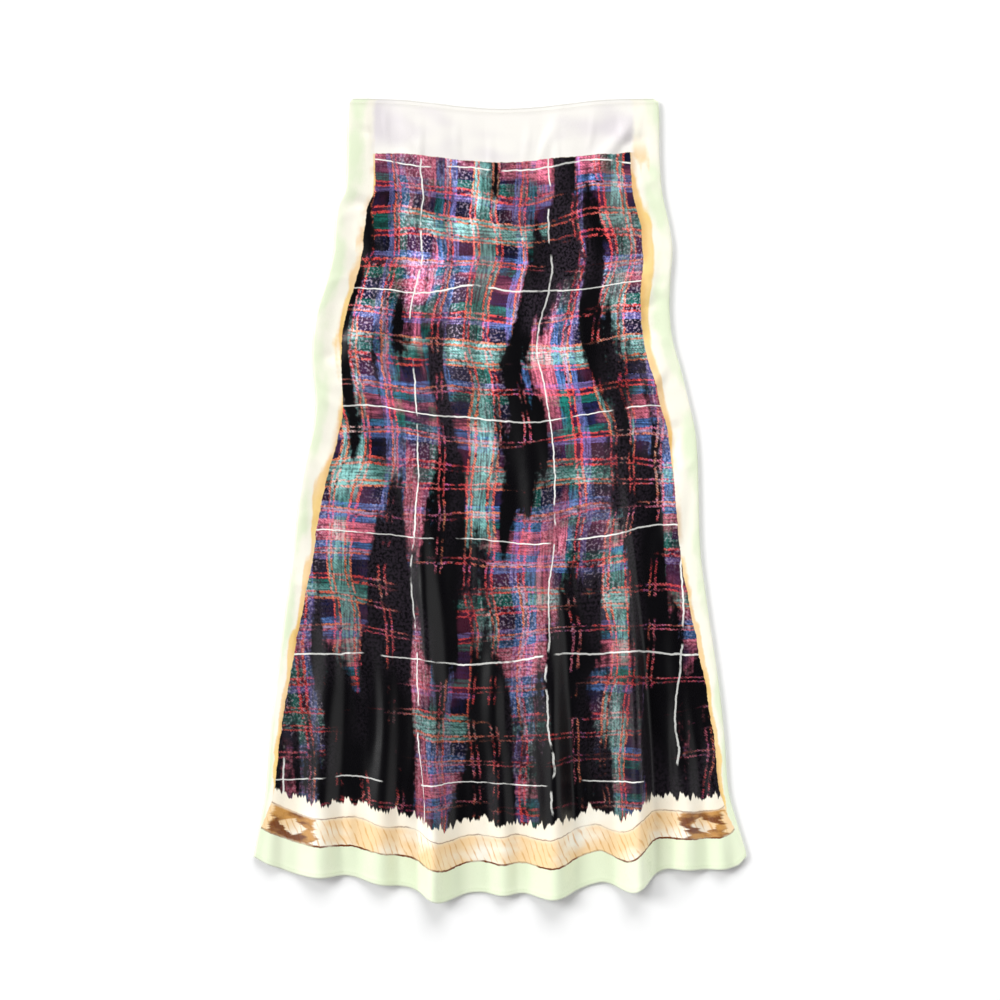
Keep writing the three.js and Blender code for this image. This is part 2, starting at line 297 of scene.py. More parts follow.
def backHeights(x, down):
    lifted = fluteHeights(x, down, clothLay["backWidth"], 0)
    return clothLay["thickness"] / 2, clothLay["backLift"] * lifted


# A panel's grid: rows down the side seams, columns at even lengths of cloth

panelGrid = {
    "rows": 186,
    "edgeRows": (0.6, 1.5, 3, 4.5, 5.8, 6.8, 9, 13),  # distances of the rows near the waist and the hem
    "frontColumns": 212,
    "backColumns": 96,
    "turnSteps": 5,
    "lipSteps": 2,
    "samples": 900,
}


def rowPlaces():
    near = np.array(panelGrid["edgeRows"])
    length = skirtCut["seamLength"]
    middle = np.linspace(near[-1], length - near[-1], panelGrid["rows"])[1:-1]
    return np.concatenate([[0], near, middle, length - near[::-1], [length]])


def panelPoints(heights, side, columns):
    # seven values a point: x, y and z of the cloth's middle, the length across, the row's length, and the
    # distances from the waist and the hem
    radius, gap = clothLay["edgeRadius"], clothLay["seamGap"]
    seamZ = clothLay["seamLevel"] + side * gap / 2
    angles = np.linspace(0, math.pi / 2, panelGrid["turnSteps"] + 1)
    turnIn, turnUp = radius * (1 - np.cos(angles)), side * radius * np.sin(angles)
    lipIn = np.linspace(clothLay["allowance"], clothLay["lipStart"], panelGrid["lipSteps"])
    rows = []
    for down in rowPlaces():
        left, right = seamsAt(down)
        x = np.linspace(left + radius, right - radius, panelGrid["samples"])
        inside = np.minimum(x - left, right - x) - radius
        flat, folds = heights(x, np.full_like(x, down))
        edge = np.exp(-((inside / clothLay["edgeEase"]) ** 2)) if side > 0 else 0
        z = mix(flat, seamZ + side * radius, edge) + folds * smooth(inside / clothLay["foldFade"])
        if side > 0:
            above = z - clothLay["lowest"]  # troughs come to rest on the back
            z = clothLay["lowest"] + (above + np.hypot(above, clothLay["restEase"])) / 2
            nearLeft = x - left < right - x
            z += np.where(nearLeft, tuckHeights(inside, down, 0), tuckHeights(inside, down, 1))
        lengths = np.concatenate([[0], np.cumsum(np.hypot(np.diff(x), np.diff(z)))])
        even = np.linspace(0, lengths[-1], columns + 1)
        turnLength = radius * angles
        lipZ = np.full_like(lipIn, seamZ + side * clothLay["lipLift"])
        turnZ = (seamZ + turnUp)[:-1]
        xs = np.concatenate([left + lipIn, left + turnIn[:-1], np.interp(even, lengths, x),
                             right - turnIn[-2::-1], right - lipIn[::-1]])
        zs = np.concatenate([lipZ, turnZ, np.interp(even, lengths, z), turnZ[::-1], lipZ])
        across = np.concatenate([-lipIn, turnLength[:-1], turnLength[-1] + even,
                                 turnLength[-1] + lengths[-1] + turnLength[1:], 0 * lipIn])
        total = lengths[-1] + 2 * turnLength[-1]
        across[-len(lipIn):] = total + lipIn[::-1]
        share = (xs - left) / (right - left)
        hemLeft, hemRight = seamsAt(skirtCut["seamLength"])
        top, bottom = waistEdge(share), hemEdge(mix(hemLeft, hemRight, share))
        ownDown = mix(top, bottom, down / skirtCut["seamLength"])
        y = skirtCut["length"] / 2 - ownDown
        totals = np.full_like(xs, total)
        rows.append(np.stack([xs, y, zs, across, totals, ownDown - top, bottom - ownDown], axis=1))
    return np.array(rows)


def gridNormals(points):
    # directions out of the cloth's upper side
    acrossCloth = np.gradient(points, axis=1)
    upCloth = -np.gradient(points, axis=0)
    normals = np.cross(acrossCloth, upCloth)
    return normals / np.linalg.norm(normals, axis=2, keepdims=True)


def shellMesh(name, grid, side):
    # a closed thin shell round the middle points of a panel
    points = grid[:, :, :3]
    normals = gridNormals(points)
    half, step = clothLay["thickness"] / 2, clothLay["hemStep"]
    turned, outward = clothLay["hemThickness"], clothLay["hemOutward"]
    fromEdge = np.minimum(grid[:, :, 5], grid[:, :, 6])[:, :, None]
    band = smooth((clothLay["hemBand"] + step / 2 - fromEdge) / step)
    outer = half + outward * turned * band
    inner = half + (1 - outward) * turned * band
    if side > 0:
        upper, lower = points + normals * outer, points - normals * inner
    else:
        lift = normals * outward * turned * band  # keeps the turned edge off the floor
        upper, lower = points + lift + normals * inner, points + lift - normals * outer
    rowCount, columnCount = points.shape[:2]
    layer = rowCount * columnCount
    index = np.arange(layer).reshape(rowCount, columnCount)
    a, b, c, d = index[:-1, :-1], index[1:, :-1], index[1:, 1:], index[:-1, 1:]
    top = np.stack([a, b, c, d], axis=-1).reshape(-1, 4)
    under = top[:, ::-1] + layer
    rims = []
    for line, flip in ((index[0], False), (index[-1], True), (index[:, 0], True), (index[:, -1], False)):
        quad = np.stack([line[:-1], line[1:], line[1:] + layer, line[:-1] + layer], axis=-1)
        rims.append(quad[:, ::-1] if flip else quad)
    rim = np.concatenate(rims)
    mesh = bpy.data.meshes.new(name)
    vertices = np.concatenate([upper.reshape(-1, 3), lower.reshape(-1, 3)]) * mm
    mesh.from_pydata(vertices.tolist(), [], np.concatenate([top, under, rim]).tolist())
    slots = np.zeros(len(mesh.polygons), np.int32)
    inside = len(top) if side > 0 else 0  # first face of the panel's inside
    slots[inside:inside + len(top)] = 1
    mesh.polygons.foreach_set("material_index", slots)
    mesh.polygons.foreach_set("use_smooth", np.ones(len(mesh.polygons), bool))
    addPlaces(mesh, grid)
    mesh.validate()
    return addObject(name, mesh)


def addPlaces(mesh, grid):
    # two UV maps in metres: the place on the print, and the distances from the side seam and the hem
    across, total, down, up = (grid[:, :, k] for k in (3, 4, 5, 6))
    narrowed = mix(1, total[:1] / total, skirtCut["flareInPrint"])
    maps = {
        "printPlace": ((across - total / 2) * narrowed, -down),
        "borderPlace": (np.minimum(across, total - across), up),
    }
    corner = np.empty(len(mesh.loops), np.int32)
    mesh.loops.foreach_get("vertex_index", corner)
    for name, (u, v) in maps.items():
        layer = mesh.uv_layers.new(name=name)
        places = np.stack([u, v], axis=-1).reshape(-1, 2) * mm
        places = np.concatenate([places, places])
        layer.data.foreach_set("uv", places[corner].ravel())


frontGrid = panelPoints(frontHeights, 1, panelGrid["frontColumns"])
backGrid = panelPoints(backHeights, -1, panelGrid["backColumns"])
frontPanel = shellMesh("satinFront", frontGrid, 1)
backPanel = shellMesh("satinBack", backGrid, -1)
print("panels made:", len(frontPanel.data.polygons), len(backPanel.data.polygons), "faces")


# Shader helpers

def treeOf(*values):
    # the node tree of the first socket among some values
    return next(value.id_data for value in values if isinstance(value, bpy.types.NodeSocket))


def feed(socket, value):
    if isinstance(value, bpy.types.NodeSocket):
        socket.id_data.links.new(value, socket)
    else:
        socket.default_value = value


def setInputs(node, **values):
    for name, value in values.items():
        feed(node.inputs[name], value)


def calc(operation, *values):
    node = treeOf(*values).nodes.new("ShaderNodeMath")
    node.operation = operation
    for socket, value in zip(node.inputs, values):
        feed(socket, value)
    return node.outputs[0]


def plus(a, b):
    return calc("ADD", a, b)


def minus(a, b):
    return calc("SUBTRACT", a, b)


def times(a, b):
    return calc("MULTIPLY", a, b)


def divided(a, b):
    return calc("DIVIDE", a, b)


def linear(value, slope, start):
    return calc("MULTIPLY_ADD", value, slope, start)


def rise(value, low, high):
    # 0 below low, 1 above high, and a smooth step between
    node = treeOf(value, low, high).nodes.new("ShaderNodeMapRange")
    node.interpolation_type = "SMOOTHSTEP"
    setInputs(node, **{"Value": value, "From Min": low, "From Max": high})
    return node.outputs[0]


def invert(value):
    return minus(1.0, value)


def spread(value, reach):
    # a 0 to 1 noise made to run from -reach to reach
    return linear(value, 2 * reach, -reach)


def tint(share, under, over, mode="MIX"):
    node = treeOf(share, under, over).nodes.new("ShaderNodeMix")
    node.data_type, node.blend_type = "RGBA", mode
    feed(node.inputs[0], share)
    feed(node.inputs[6], under)
    feed(node.inputs[7], over)
    return node.outputs[2]


def parts(vector):
    node = vector.id_data.nodes.new("ShaderNodeSeparateXYZ")
    feed(node.inputs[0], vector)
    return node.outputs[0], node.outputs[1], node.outputs[2]


def noise(where, name):
    # a noise from the table of soft noises, with the use that the table names for it
    across, along, detail, shift, use = softNoises[name]
    nodes = where.id_data.nodes
    mapping, node = nodes.new("ShaderNodeMapping"), nodes.new("ShaderNodeTexNoise")
    setInputs(mapping, Vector=where, Location=(shift, 0.37 * shift, 0), Scale=(across, along, 1))
    node.noise_dimensions = "2D"
    setInputs(node, Vector=mapping.outputs[0], Scale=1, Detail=detail)
    soft = node.outputs["Fac"]
    if use is None:
        return soft
    return rise(soft, *use) if isinstance(use, tuple) else spread(soft, use)


def newGroup(name, places, outputs):
    tree = bpy.data.node_groups.new(name, "ShaderNodeTree")
    for place in places:
        tree.interface.new_socket(place, in_out="INPUT", socket_type="NodeSocketVector")
    for socketName, kind in outputs.items():
        tree.interface.new_socket(socketName, in_out="OUTPUT", socket_type="NodeSocket" + kind)
    return tree, tree.nodes.new("NodeGroupInput").outputs, tree.nodes.new("NodeGroupOutput").inputs


def newMaterial(name):
    material = bpy.data.materials.new(name)
    material.use_nodes = True
    return material, material.node_tree.nodes["Principled BSDF"]


def finishShader(shader, colour, roughness, specular):
    setInputs(shader, **{"Base Color": colour, "Roughness": roughness, "Specular IOR Level": specular})


def addBump(shader, height, strength, depth):
    bump = shader.id_data.nodes.new("ShaderNodeBump")
    setInputs(bump, Strength=strength, Distance=depth * mm, Height=height)
    setInputs(shader, Normal=bump.outputs[0])


def useGroup(group, **values):
    node = treeOf(*values.values()).nodes.new("ShaderNodeGroup")
    node.node_tree = group
    setInputs(node, **values)
    return node.outputs


def paint(red, green, blue):
    # a colour given as it looks on a screen, 0 to 255, by the usual screen curve
    light = []
    for share in (red / 255, green / 255, blue / 255):
        light.append(share / 12.92 if share < 0.04045 else ((share + 0.055) / 1.055) ** 2.4)
    return (*light, 1)


# The print: a dark brushed check inside a painted frame, drawn for this skirt

inks = {
    # painted sheen: the grey haze ink on the next line stands for the satin's sheen on the darks
    "black": paint(6, 5, 8), "paintedSheen": paint(66, 56, 68), "bloom": paint(176, 160, 170),
    # painted highlight: the glint ink
    "glint": paint(206, 203, 208), "plum": paint(70, 26, 44), "navy": paint(26, 28, 62),
    "violet": paint(108, 98, 152), "lilac": paint(174, 154, 184), "blue": paint(78, 116, 172),
    "teal": paint(26, 104, 92), "sea": paint(128, 184, 176), "rose": paint(222, 116, 136),
    "coral": paint(238, 80, 76), "orange": paint(246, 138, 100), "white": paint(247, 247, 242),
    "ivory": paint(247, 244, 238), "shade": paint(220, 213, 219), "mint": paint(229, 239, 209),
    "cream": paint(250, 246, 232), "sand": paint(244, 212, 164), "gold": paint(245, 212, 138),
    # painted shade: the edge ink, for the cloth's turning edges
    "ochre": paint(216, 160, 84), "edge": paint(172, 170, 164), "brown": paint(108, 50, 12),
}

# half of the check's repeat, between its turning lines: width, ink, and the ink that it shades into
checkStripes = [
    (7, "teal", "sea"), (2.1, "coral", "orange"), (3.2, "plum", "sea"), (2.1, "coral", "orange"),
    (16.5, "black", "navy"), (6.5, "violet", "blue"), (2.1, "coral", "orange"), (3.2, "plum", "lilac"),
    (2.1, "coral", "rose"), (9.4, "teal", "blue"), (14.8, "navy", "rose"),
]

printPlan = {
    "waistBand": 60,
    "sideBorder": 34,
    "sideBorderAtHem": 11,
    "hemBorder": 82,
    "cornerBlock": 66,
    "overcheck": 0.85,  # half the width of the pale lines
    "hatch": 3.0,  # step of the slanting threads
    "slowDrift": 6.5,  # how far the lines wander over a hand's width
    "midDrift": 1.3,
    "fineDrift": 1.3,
    "shiftAcross": 18,  # moves the check sideways on the skirt
    "ragged": 13,  # how uneven the brush strokes are that end the field at the hem
    "stroke": 6.4,  # step of the slanting strokes in the hem's sand band
}

checkHalf = sum(width for width, _, _ in checkStripes)

# patches in a metre across and along, detail, shift, and what is made of the noise: nothing, a rise from
# 0 to 1 between two values, or a reach to each side of 0
softNoises = {
    "fineDrift": (560, 560, 1, 0, printPlan["fineDrift"] * mm),
    "slowDriftU": (11, 8, 1, 0, 2 * printPlan["slowDrift"] * mm),
    "midDriftU": (60, 95, 2, 0, printPlan["midDrift"] * mm),
    "slowDriftV": (8, 12, 1, 5, 2 * printPlan["slowDrift"] * mm),
    "midDriftV": (95, 60, 2, 5, printPlan["midDrift"] * mm),
    "warpStreak": (420, 36, 3, 0, (0.36, 0.68)),
    "weftStreak": (36, 420, 3, 0, (0.36, 0.68)),
    "coralBreak": (190, 190, 4, 2, (0.48, 0.68)),
    "warpHue": (17, 9, 3, 0, (0.42, 0.60)),
    "weftHue": (9, 17, 3, 3, (0.42, 0.60)),
    "fleck": (380, 340, 4, 12, None),
    "bloom": (17, 8, 2, 14, (0.42, 0.62)),
    "glint": (30, 6, 3, 17, None),
    "glintEdge": (240, 60, 2, 19, 0.05),
    "blush": (12, 15, 3, 23, (0.46, 0.62)),
    "wash": (21, 3.3, 2, 11, None),
    "washStreak": (170, 14, 3, 4, 0.05),
    "washGrain": (200, 160, 3, 8, 0.05),
    "paleGap": (26, 26, 3, 6, (0.37, 0.45)),
    # patches of painted sheen
    "paintedSheen": (13, 5, 2, 9, (0.46, 0.64)),
    "coralShow": (10, 26, 3, 27, (0.47, 0.60)),
    "brushSlow": (26, 26, 2, 0, 2.4 * mm),
    "brushFine": (210, 210, 3, 0, 0.9 * mm),
    "framePatch": (24, 11, 3, 0, None),
    "sandPatch": (18, 26, 3, 3, (0.42, 0.78)),
    "strokeDrift": (70, 30, 2, 8, 3.0 * mm),
    "strokeEdge": (160, 60, 3, 1, 0.7),
    "innerEdge": (30, 7, 3, 13, 0.75),
    "pressed": (30, 18, 3, 6, (0.38, 0.64)),  # how hard the brush was pressed
    "blockEnd": (12, 230, 2, 9, 11 * mm),
    "blockWash": (42, 90, 4, 2, (0.38, 0.66)),
    "dapple": (9, 15, 2, 0, (0.46, 0.74)),
    "ragged": (210, 9, 2, 7, printPlan["ragged"] * mm),
    "satinFloat": (2600, 260, 1, 0, None),
    "satinCrimp": (110, 42, 3, 0, None),
    "satinSoft": (38, 16, 2, 0, None),
    "threadFuzz": (900, 900, 2, 0, None),
}

# how strong each layer over the stripes is, and the values between which its mask rises
checkLook = {
    "streak": 0.75,  # dark streaks along the threads
    "dash": 0.6,  # how far the coral lines break into dashes
    "dashRise": (0.1, 0.9),
    "crossing": (-0.9, 0.9),
    "brighter": 0.62,  # how much the brighter of two crossing threads wins
    "fleck": 0.55,  # dark flecks; the bloom is the pale ones
    "fleckRise": (0.50, 0.68),
    "bloom": 0.52,
    "bloomRise": (0.32, 0.50),
    "glintRise": (0.40, 0.57),
    "glintReach": (-1.10, -0.10),  # in metres below the waist
    "lower": (-0.08, -0.80),  # where the lower part of the skirt sets in
    "wash": (0.134, -0.052),  # how many more dark washes the lower part has, and how few the upper
    "washRise": (0.48, 0.56),
    "overline": (0.55, 1.35),  # soft edge of a pale line, as shares of its half width
    "dimming": 0.4,  # how far the washes dim the pale lines
    # painted sheen over the darks: less of it in the lower part, the values between which its mask rises,
    # and its share
    "lessPaintedSheen": -0.55,  # in the lower part
    "paintedSheenRise": (0.36, 0.60),
    "paintedSheen": 0.5,
    "deeper": 0.40,  # how much darker the lower part is
    "showing": -0.68,  # how far the coral threads show through the washes
}


def stripeRamp(folded, colours):
    # the stripes' colours at a share of the way between the turning lines
    ramp = folded.id_data.nodes.new("ShaderNodeValToRGB")
    ramp.color_ramp.interpolation = "CONSTANT"
    elements = ramp.color_ramp.elements
    elements.remove(elements[1])
    elements[0].color = colours[0]
    start = 0
    for (width, _, _), colour in zip(checkStripes, colours[1:]):
        start += width
        elements.new(start / checkHalf).color = colour
    feed(ramp.inputs[0], folded)
    return ramp.outputs[0]


def stripes(along, hue, streak, breaks):
    # one direction of the check: ground stripes that shade into a second ink, and broken coral lines
    half = checkHalf * mm
    folded = divided(calc("PINGPONG", along, half), half)
    first = stripeRamp(folded, [inks[ink] for _, ink, _ in checkStripes])
    second = stripeRamp(folded, [inks[ink] for _, _, ink in checkStripes])
    lines = stripeRamp(folded, [(float(ink == "coral"),) * 3 + (1,) for _, ink, _ in checkStripes])
    colour = tint(hue, first, second)
    gaps = times(lines, breaks)
    streaks = times(times(streak, invert(lines)), checkLook["streak"])
    colour = tint(calc("MAXIMUM", gaps, streaks), colour, inks["black"])
    return colour, minus(lines, gaps)


def buildCheck():
    tree, given, result = newGroup("brushedCheck", ["Place"], {"Color": "Color"})
    where = given["Place"]
    look = checkLook

    def soft(name):
        return noise(where, name)

    u, v, _ = parts(where)
    # the lines wander, as brushed ones do on soft cloth
    fine = soft("fineDrift")
    driftU = plus(soft("slowDriftU"), soft("midDriftU"))
    driftV = plus(soft("slowDriftV"), soft("midDriftV"))
    across = plus(u, printPlan["shiftAcross"] * mm)
    lineU, lineV = plus(across, driftU), plus(v, driftV)
    # threads: each direction is streaked along itself
    warpStreak, weftStreak = soft("warpStreak"), soft("weftStreak")
    slanting = plus(plus(u, v), fine)
    twill = calc("SINE", times(slanting, 2 * math.pi / (printPlan["hatch"] * mm)))
    # coral lines break into dashes, and whole stretches of them fade
    dashes = times(rise(twill, *look["dashRise"]), look["dash"])
    breaks = calc("MAXIMUM", dashes, soft("coralBreak"))
    warp, warpCoral = stripes(plus(lineU, fine), soft("warpHue"), warpStreak, breaks)
    weft, weftCoral = stripes(plus(lineV, fine), soft("weftHue"), weftStreak, breaks)
    crossing = plus(twill, minus(weftStreak, warpStreak))
    woven = tint(rise(crossing, *look["crossing"]), warp, weft)
    woven = tint(look["brighter"], woven, tint(1.0, warp, weft, "LIGHTEN"))
    # fuzzy threads: dark and pale flecks all over
    flecks = soft("fleck")
    darkFlecks = times(rise(flecks, *look["fleckRise"]), look["fleck"])
    woven = tint(darkFlecks, woven, inks["black"])
    bloom = times(invert(rise(flecks, *look["bloomRise"])), soft("bloom"))
    woven = tint(times(bloom, look["bloom"]), woven, inks["bloom"], "SCREEN")
    # painted highlights: the colours glow where light seems to fall along the cloth, and a plum blush
    # lies between
    glints = rise(plus(soft("glint"), soft("glintEdge")), *look["glintRise"])
    glints = times(glints, rise(v, *look["glintReach"]))
    woven = tint(glints, woven, inks["glint"], "DODGE")
    woven = tint(soft("blush"), woven, inks["plum"], "SCREEN")
    # long dark washes run down the skirt, more of them towards the hem
    lower = rise(v, *look["lower"])
    wash = plus(linear(lower, *look["wash"]), soft("wash"))
    uneven = plus(soft("washStreak"), soft("washGrain"))
    washed = rise(plus(wash, uneven), *look["washRise"])
    # thin pale lines over the check, where its stripes turn
    half = checkHalf * mm
    edges = [share * (printPlan["overcheck"] * mm) for share in look["overline"]]
    lines = []
    for line in (lineU, lineV):
        away = minus(half, calc("PINGPONG", line, half))
        lines.append(invert(rise(away, *edges)))
    pale = times(calc("MAXIMUM", *lines), soft("paleGap"))
    pale = times(pale, invert(times(washed, look["dimming"])))
    # painted sheen: a grey haze, heathered like the threads, stands for the satin's sheen over parts of
    # it all
    patches = times(soft("paintedSheen"), linear(lower, look["lessPaintedSheen"], 1.0))
    paintedSheenMask = times(rise(flecks, *look["paintedSheenRise"]), patches)
    woven = tint(times(lower, look["deeper"]), woven, inks["black"])
    # here and there the coral threads show through the washes
    showing = times(calc("MAXIMUM", warpCoral, weftCoral), soft("coralShow"))
    covering = times(washed, linear(showing, look["showing"], 1.0))
    dark = tint(covering, woven, inks["black"])
    dark = tint(times(paintedSheenMask, look["paintedSheen"]), dark, inks["paintedSheen"], "LIGHTEN")
    feed(result["Color"], tint(pale, dark, inks["white"]))
    return tree


# depths run from 0 at the cloth's edge to 1 at the field
frameLook = {
    "narrowing": (-0.26, -0.80),  # where the sides narrow, in metres below the waist
    "mitre": 0.02,  # softness of the corners' mitre
    "paleMint": (0.42, 0.72),
    "lessPale": -0.8,  # at the hem
    "strokeSlant": 0.35,
    "strokeRise": (0.55, 1.25),
    "stroke": 0.7,
    "wander": 0.5,  # how far the mint wanders up the sides
    "softer": (-0.12, 0.24),  # how much softer than the hem's the sides' turn from mint is
    "turn": (0.415, 0.43),  # where mint gives way to sand at the hem
    "belowWaist": (-36, -74),  # where the gold sets in below the waist
    "inner": (0.72, 0.86),
    "gilding": (0.34, 0.66),
    "glowRise": (0.72, 1.0),
    "glow": (-0.45, 0.6),  # what the hem takes off the sides' glow, and that glow
    "litRise": (0.74, 0.84),
    "lit": 0.8,
    "lines": ((0.425, 0.016), (0.80, 0.011)),  # depth and reach of the two brown lines at the hem
    "fainter": 0.6,  # the second of them
    "lineGaps": (-0.6, 0.8),
    "blockBrush": 1.6,
    "blockMiddle": (0.58, 0.61),  # across, in blocks from the side, and in depth
    "blockAcross": (0.34, 0.42),
    "blockUp": (0.16, 0.20),
    "blockWash": 0.75,
    "block": 0.94,
    "lozenge": (0.27, 0.13),  # half its width and height
    "lozengeRise": (0.8, 1.05),
    "opening": 0.9,
    "bandEdge": (0.5, -0.5),  # softness of the waist band's edge
    "dapple": 0.75,
    "bandRise": (0.80, 1.0),
    "fieldRise": (0.985, 1.015),
    # painted shade along the cloth's edges: its reach in millimetres, and its strength
    "paintedEdgeShade": (0.4, 2.2),
    "edge": 0.5,
}


def apart(a, b):
    return calc("ABSOLUTE", minus(a, b))


def thinLine(at, middle, reach):
    return invert(rise(apart(at, middle), reach / 2, reach))


def buildFrame():
    outputs = {"Color": "Color", "Field": "Float"}
    tree, given, result = newGroup("paintedFrame", ["Place", "Border"], outputs)
    where = given["Place"]
    look = frameLook

    def soft(name):
        return noise(where, name)

    u, v, _ = parts(where)
    fromSide, fromHem, _ = parts(given["Border"])
    brush = plus(soft("brushSlow"), soft("brushFine"))
    narrowing = (printPlan["sideBorderAtHem"] - printPlan["sideBorder"]) * mm
    narrow = rise(v, *look["narrowing"])
    sideWidth = linear(narrow, narrowing, printPlan["sideBorder"] * mm)
    side = divided(plus(fromSide, brush), sideWidth)
    hem = divided(plus(fromHem, brush), printPlan["hemBorder"] * mm)
    depth = calc("MINIMUM", side, hem)
    atHem = rise(minus(side, hem), -look["mitre"], look["mitre"])
    patches = soft("framePatch")
    paler = times(rise(patches, *look["paleMint"]), linear(atHem, look["lessPale"], 1.0))
    mint = tint(paler, inks["mint"], inks["cream"])
    sand = tint(soft("sandPatch"), inks["sand"], inks["cream"])
    # slanting strokes in the hem's sand band, none two alike
    slant = plus(u, times(fromHem, look["strokeSlant"]))
    slant = plus(slant, soft("strokeDrift"))
    wave = calc("SINE", times(slant, 2 * math.pi / (printPlan["stroke"] * mm)))
    strokes = rise(plus(wave, soft("strokeEdge")), *look["strokeRise"])
    stroked = tint(times(times(strokes, atHem), look["stroke"]), sand, inks["ochre"])
    # mint gives way to sand at a line on the hem, and softly up the sides
    turn = plus(depth, times(invert(atHem), spread(patches, look["wander"])))
    turnEnds = [linear(invert(atHem), *ends) for ends in zip(look["softer"], look["turn"])]
    belowWaist = rise(plus(v, brush), *(level * mm for level in look["belowWaist"]))
    ground = tint(atHem, inks["cream"], stroked)
    colour = tint(rise(turn, *turnEnds), mint, ground)
    inner = plus(depth, times(invert(atHem), soft("innerEdge")))
    inner = times(rise(inner, *look["inner"]), belowWaist)
    gilded = tint(rise(patches, *look["gilding"]), inks["gold"], inks["sand"])
    colour = tint(inner, colour, tint(atHem, gilded, sand))
    pressed = soft("pressed")
    glow = times(times(rise(depth, *look["glowRise"]), pressed), belowWaist)
    colour = tint(times(glow, linear(atHem, *look["glow"])), colour, inks["ochre"])
    lit = times(rise(hem, *look["litRise"]), atHem)
    colour = tint(times(lit, look["lit"]), colour, inks["cream"])
    strong, faint = (thinLine(hem, middle, reach) for middle, reach in look["lines"])
    line = calc("MAXIMUM", strong, times(faint, look["fainter"]))
    line = times(times(line, atHem), rise(pressed, *look["lineGaps"]))
    colour = tint(line, colour, inks["brown"])
    # a brown block with a pale lozenge at each end of the hem's sand band
    strokeEnds = linear(brush, look["blockBrush"], soft("blockEnd"))
    acrossBlock = divided(plus(fromSide, strokeEnds), printPlan["cornerBlock"] * mm)
    midAcross, midUp = apart(acrossBlock, look["blockMiddle"][0]), apart(hem, look["blockMiddle"][1])
    inBlock = times(invert(rise(midAcross, *look["blockAcross"])),
                    invert(rise(midUp, *look["blockUp"])))
    halfAcross, halfUp = look["lozenge"]
    lozenge = plus(divided(midAcross, halfAcross), divided(midUp, halfUp))
    blockInk = tint(times(soft("blockWash"), look["blockWash"]), inks["brown"], inks["ochre"])
    opening = times(invert(rise(lozenge, *look["lozengeRise"])), look["opening"])
    blockInk = tint(opening, blockInk, stroked)
    colour = tint(times(inBlock, look["block"]), colour, blockInk)
    # the plain waist band
    low, high = (-(printPlan["waistBand"] + soften) * mm for soften in look["bandEdge"])
    band = rise(plus(v, brush), low, high)
    ivory = tint(times(soft("dapple"), look["dapple"]), inks["ivory"], inks["shade"])
    colour = tint(times(rise(depth, *look["bandRise"]), band), colour, ivory)
    # the field ends in brush strokes at the hem
    ended = divided(plus(plus(fromHem, brush), soft("ragged")), printPlan["hemBorder"] * mm)
    inside = rise(calc("MINIMUM", side, ended), *look["fieldRise"])
    # painted shade: a thin darker line where the cloth turns at its edges
    fromEdge = calc("MINIMUM", calc("MINIMUM", fromSide, fromHem), times(v, -1.0))
    paintedEdgeShade = invert(rise(fromEdge, *(reach * mm for reach in look["paintedEdgeShade"])))
    colour = tint(times(paintedEdgeShade, look["edge"]), colour, inks["edge"])
    feed(result["Color"], colour)
    feed(result["Field"], times(inside, invert(band)))
    return tree


weaveLook = {
    "float": 0.02,  # height of the fine floats of the weave
    "soft": 0.7,  # and of the slow unevenness
    "crimp": 0.16,
    "floatGloss": 0.04,  # how much each changes the roughness
    "softGloss": 0.05,
}


def buildSatinWeave():
    # fine floats of the satin weave, and the faint unevenness of the cloth
    outputs = {"Height": "Float", "Roughness Change": "Float"}
    tree, given, result = newGroup("satinWeave", ["Place"], outputs)
    floats, crimp, soft = (noise(given["Place"], "satin" + name) for name in ("Float", "Crimp", "Soft"))
    height = linear(floats, weaveLook["float"], times(soft, weaveLook["soft"]))
    height = plus(height, times(crimp, weaveLook["crimp"]))
    gloss = plus(spread(floats, weaveLook["floatGloss"]), spread(soft, weaveLook["softGloss"]))
    feed(result["Height"], height)
    feed(result["Roughness Change"], gloss)
    return tree


checkGroup, frameGroup, weaveGroup = buildCheck(), buildFrame(), buildSatinWeave()
print("print drawn")


# Satin: the printed face, and a paler, duller reverse

satinFinish = {
    "roughness": 0.29,
    "specular": 0.35,
    "anisotropic": 0.35,
    "bump": 0.8,
    "bumpDepth": 0.8,
}

reverseFinish = {
    "roughness": 0.62,
    "specular": 0.35,
    "ghost": 0.26,  # how much of the print shows through
    "paleness": paint(226, 224, 222),
}


def clothMaterial(name, isReverse):
    material, shader = newMaterial(name)
    nodes = material.node_tree.nodes
    maps = {}
    for mapName in ("printPlace", "borderPlace"):
        node = nodes.new("ShaderNodeUVMap")
        node.uv_map = mapName
        maps[mapName] = node.outputs[0]
    check = useGroup(checkGroup, Place=maps["printPlace"])["Color"]
    framed = useGroup(frameGroup, Place=maps["printPlace"], Border=maps["borderPlace"])
    colour = tint(framed["Field"], framed["Color"], check)
    weave = useGroup(weaveGroup, Place=maps["printPlace"])
    finish = reverseFinish if isReverse else satinFinish
    if isReverse:
        colour = tint(finish["ghost"], finish["paleness"], colour)
    else:
        tangent = nodes.new("ShaderNodeTangent")
        tangent.direction_type = "UV_MAP"
        tangent.uv_map = "printPlace"
        setInputs(shader, Anisotropic=finish["anisotropic"], Tangent=tangent.outputs[0])
    roughness = plus(weave["Roughness Change"], finish["roughness"])
    finishShader(shader, colour, roughness, finish["specular"])
    addBump(shader, weave["Height"], satinFinish["bump"], satinFinish["bumpDepth"])
    return material


satin, satinReverse = clothMaterial("printedSatin", False), clothMaterial("satinReverse", True)
for piece in (frontPanel, backPanel):
    piece.data.materials.append(satin)
    piece.data.materials.append(satinReverse)
print("satin made")


# Sewing: rows of small stitches that hold the turned hem and waist edge

